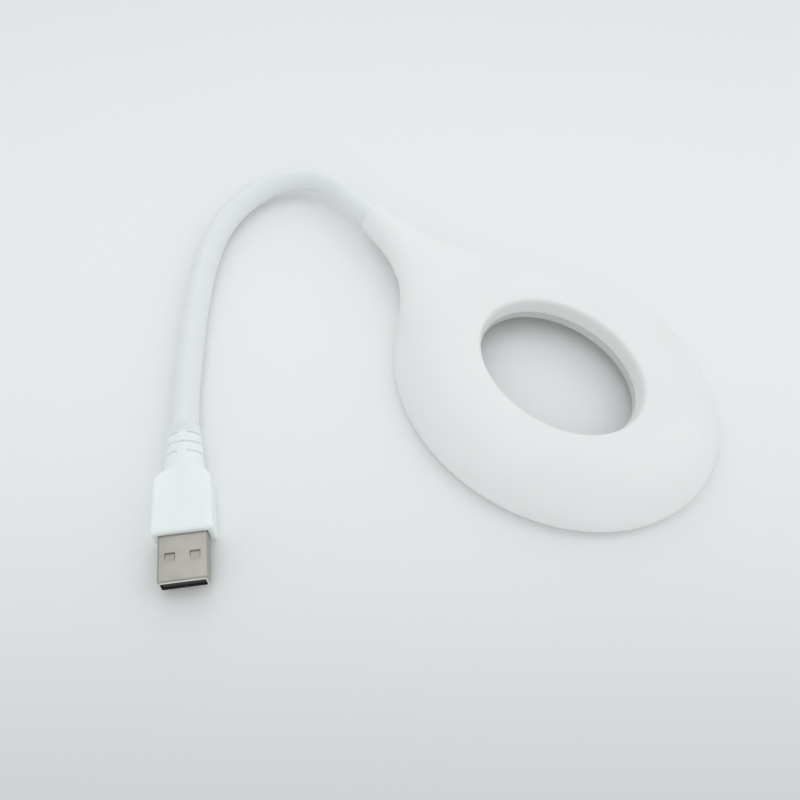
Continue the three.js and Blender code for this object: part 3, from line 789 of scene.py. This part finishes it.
class Arm:
    """The arm's centreline with distances and upright frames along it."""

    def __init__(self):
        origin = plug_origin()
        line = catmull(ARM_ROUTE)
        lead_in = line[0] - [0, ARM_LEAD, 0]
        self.line = np.vstack([lead_in, line]) + [origin.x, origin.y, 0]
        steps = np.linalg.norm(np.diff(self.line, axis=0), axis=1)
        self.at = np.concatenate([[0], np.cumsum(steps)]) - ARM_LEAD

    def point(self, s):
        """The centreline's point at a distance from the sleeve's start."""
        return np.stack([np.interp(s, self.at, self.line[:, i]) for i in range(3)], axis=-1)

    def frames(self, s):
        """The ways ahead, left and up at a distance."""
        ahead = self.point(s + FRAME_REACH) - self.point(s - FRAME_REACH)
        ahead /= np.linalg.norm(ahead, axis=-1, keepdims=True)
        left = np.cross([0, 0, 1], ahead)
        left /= np.linalg.norm(left, axis=-1, keepdims=True)
        return ahead, left, np.cross(ahead, left)


ARM = Arm()


def wall_faces(count, around):
    """Quads between count outlines of around points each, facing outwards."""
    faces = []
    for i in range(count - 1):
        for a in range(around):
            b = (a + 1) % around
            faces.append((i * around + a, i * around + b, (i + 1) * around + b, (i + 1) * around + a))
    return faces


def strand(name, start, end, section, bore=None):
    """A closed solid that follows the arm from start to end, with a 2-D section and perhaps a bore."""
    step = STRAND_STEPS[1]
    steps = max(2, int((end - start) / step))
    along = np.linspace(start, end, steps + 1)
    _, left, up = ARM.frames(along)
    centre = ARM.point(along)

    def skin(outline):
        return centre[:, None] + outline[None, :, :1] * left[:, None] + outline[None, :, 1:] * up[:, None]

    rings = skin(section)
    around = len(section)
    count = len(along)
    points = [rings.reshape(-1, 3)]
    faces = wall_faces(count, around)
    if bore is None:
        faces.append(tuple(range(around - 1, -1, -1)))
        faces.append(tuple((count - 1) * around + a for a in range(around)))
    else:
        base = count * around
        points.append(skin(bore).reshape(-1, 3))
        last = (count - 1) * around
        for a, b, c, d in wall_faces(count, around):
            faces.append((base + a, base + d, base + c, base + b))
        for a in range(around):
            b = (a + 1) % around
            faces.append((b, a, base + a, base + b))
            faces.append((last + a, last + b, base + last + b, base + last + a))
    return place(name, np.concatenate(points), faces, Matrix.Identity(4), 50)


def circle(radius, sides, at=(0.0, 0.0)):
    """A round outline to the left of and above the centreline by at."""
    angles = np.linspace(0, 2 * math.pi, sides, endpoint=False)
    return np.stack([at[0] + radius * np.cos(angles), at[1] + radius * np.sin(angles)], axis=1)


def build_arm():
    """Five stretches, each from mid span to mid span, and each across one joint."""
    middles = [(a + b) / 2 for a, b in zip(BENDS, BENDS[1:])]
    black_at = (-WIRE_AT[0], WIRE_AT[1])
    strands = {
        "sleeve": (SLEEVE_END, SLEEVE, circle(SLEEVE_OUTER, 48), circle(SLEEVE_BORE, 48), "arm_sleeve"),
        "core": (CORE_END, STEEL, circle(CORE_RADIUS, 16, CORE_AT), None, "arm_core"),
        "wire_red": (WIRE_END, RED, circle(WIRE_RADIUS, 12, WIRE_AT), None, "wire_red"),
        "wire_black": (WIRE_END, BLACK, circle(WIRE_RADIUS, 12, black_at), None, "wire_black"),
    }
    for slot_name, (last_end, material, section, bore, node) in strands.items():
        for i in range(len(BENDS)):
            first, last = i == 0, i == len(BENDS) - 1
            start = SLEEVE_FROM if first else middles[i - 1]
            end = last_end if last else middles[i]
            piece = strand(f"{slot_name}_stretch_{i + 1}", start, end, section, bore)
            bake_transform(piece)
            stands_for = [f"{node}_{i + 1}"] + ([f"{node}_{i + 2}"] if last else [])
            finish_piece(piece, material, stands_for)


# ---------------------------------------------------------------- small CAD nodes that stay

def dress_nodes():
    """Materials for the CAD nodes that are shown as they are."""
    looks = {
        "plug_insulator": INSULATOR, "plug_carrier": INSULATOR, "led_board": BOARD, "arm_ferrule": STEEL,
        "contact_vbus": GOLD, "contact_data_minus": GOLD,
        "contact_data_plus": GOLD, "contact_ground": GOLD,
    }
    for name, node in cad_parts.items():
        material = looks.get(name)
        if name.startswith("led_") and name != "led_board":
            material = PHOSPHOR
        elif name.startswith("resistor"):
            material = CHIP
        elif "screw" in name:
            material = STEEL
        if material is not None:
            node.data.materials.clear()
            node.data.materials.append(material)


# ---------------------------------------------------------------- stage, light and camera

AIM_FROM_HOLE = Vector((-43.13, 2.85, 0.0))
CAMERA_DISTANCE = 0.2346
CAMERA_AZIMUTH, CAMERA_ELEVATION, CAMERA_ROLL = -8.46, 55.87, 0.53
SENSOR, LENS = 36.0, 37.96
CLIP_NEAR, CLIP_FAR = 0.01, 20


def build_camera():
    """The camera, aimed between the plug and the head from the front and above."""
    azimuth, elevation = math.radians(CAMERA_AZIMUTH), math.radians(CAMERA_ELEVATION)
    level = math.cos(elevation)
    back = Vector((math.sin(azimuth) * level, -math.cos(azimuth) * level, math.sin(elevation)))
    data = bpy.data.cameras.new("camera")
    data.sensor_width = SENSOR
    data.lens = LENS
    data.clip_start, data.clip_end = CLIP_NEAR, CLIP_FAR
    camera = bpy.data.objects.new("camera", data)
    bpy.context.scene.collection.objects.link(camera)
    roll = Matrix.Rotation(math.radians(CAMERA_ROLL), 4, "Z")
    aim = (head_origin() + AIM_FROM_HOLE) * MM
    look = (-back).to_track_quat("-Z", "Y").to_matrix().to_4x4()
    camera.matrix_world = Matrix.Translation(aim + back * CAMERA_DISTANCE) @ look @ roll
    bpy.context.scene.camera = camera


LIGHT_TINT = (0.965, 1.0, 1.01)
TENT_STRENGTH = 0.69
MIDDLE = (0.0, 0.0, 0.0)
PANEL = (0.6, 0.6)
LAMP = (0.3, 0.3)
# Name, position, target and size in metres, power in watts
LIGHTS = [
    ("front_panel", (0.0, -0.8, 0.5), MIDDLE, PANEL, 0.65),
    ("right_panel", (0.8, 0.0, 0.5), MIDDLE, PANEL, 0.75),
    ("back_panel", (0.0, 0.8, 0.5), MIDDLE, PANEL, 0.85),
    ("left_panel", (-0.8, 0.0, 0.5), MIDDLE, PANEL, 0.17),
    ("right_lamp", (0.5, 0.12, 0.75), MIDDLE, LAMP, 0.32),
    ("overhead_lamp", (-0.06, 0.1, 0.45), (-0.06, 0.1, 0.0), LAMP, 0.19),
]


def area_light(name, position, target, size, power):
    """An area light that faces its target."""
    data = bpy.data.lights.new(name, "AREA")
    data.shape = "RECTANGLE"
    data.size, data.size_y = size
    data.energy = power
    data.color = LIGHT_TINT
    light = bpy.data.objects.new(name, data)
    bpy.context.scene.collection.objects.link(light)
    light.location = position
    light.rotation_euler = (Vector(target) - Vector(position)).to_track_quat("-Z", "Y").to_euler()


# The paper's colour carries painted light and shade: brightest under the arm, painted darker towards the
# front and, less, towards the back
SHEET_COLOUR = (0.90, 0.898, 0.898)
PAINTED_LIGHT_WAY = (0.136, 0.991, 0.0)
PAINTED_LIGHT_FRONT, PAINTED_LIGHT_BACK = -0.16, 0.20
PAINTED_LIGHT_SHADES = [
    (0.0, 0.68), (0.1, 0.80), (0.22, 0.935), (0.36, 1.0), (0.5, 1.01), (0.75, 0.98), (1.0, 0.92),
]
TABLE_HALF = 3.0


def paper_with_painted_light():
    """White paper with painted light and shade: its colour is darkest at the front, brightest in the middle
    and a little darker at the back.
    """
    nodes = Nodes("table_paper_painted_light")
    along = nodes.add("ShaderNodeVectorMath", operation="DOT_PRODUCT")
    along.inputs[1].default_value = PAINTED_LIGHT_WAY
    nodes.link(nodes.where(), along.inputs[0])
    share = nodes.add("ShaderNodeMapRange")
    share.inputs["From Min"].default_value = PAINTED_LIGHT_FRONT
    share.inputs["From Max"].default_value = PAINTED_LIGHT_BACK
    nodes.link(along.outputs["Value"], share.inputs["Value"])
    # Painted light and shade: the paper's colour is scaled along the way from front to back
    stops = [(at, shade(SHEET_COLOUR, factor)) for at, factor in PAINTED_LIGHT_SHADES]
    paper = nodes.ramp(share.outputs["Result"], stops, "B_SPLINE")
    nodes.link(paper, nodes.shader.inputs["Base Color"])
    nodes.shader.inputs["Roughness"].default_value = 0.75
    nodes.shader.inputs["Specular IOR Level"].default_value = 0.25
    nodes.bump([(nodes.noise(900, 3, 0.6), 0.1, 0.00002)])
    return nodes.material


def build_stage():
    """The table that the lamp lies on."""
    signs = ((-1, -1), (1, -1), (1, 1), (-1, 1))
    mesh = bpy.data.meshes.new("table")
    mesh.from_pydata([(TABLE_HALF * x, TABLE_HALF * y, 0) for x, y in signs], [], [(0, 1, 2, 3)])
    table = bpy.data.objects.new("table", mesh)
    table.data.materials.append(paper_with_painted_light())
    bpy.context.scene.collection.objects.link(table)


def build_light():
    """A light tent: even light from all round, weak panels on four sides and a lamp above."""
    world = bpy.data.worlds.new("studio")
    world.use_nodes = True
    background = world.node_tree.nodes["Background"]
    background.inputs["Color"].default_value = (*LIGHT_TINT, 1)
    background.inputs["Strength"].default_value = TENT_STRENGTH
    bpy.context.scene.world = world
    for light in LIGHTS:
        area_light(*light)
    bpy.context.scene.view_settings.view_transform = "Standard"


build_camera()
build_stage()
build_light()
build_cover()
build_neck_cover()
build_diffuser()
build_overmold()
build_shell()
build_arm()
dress_nodes()
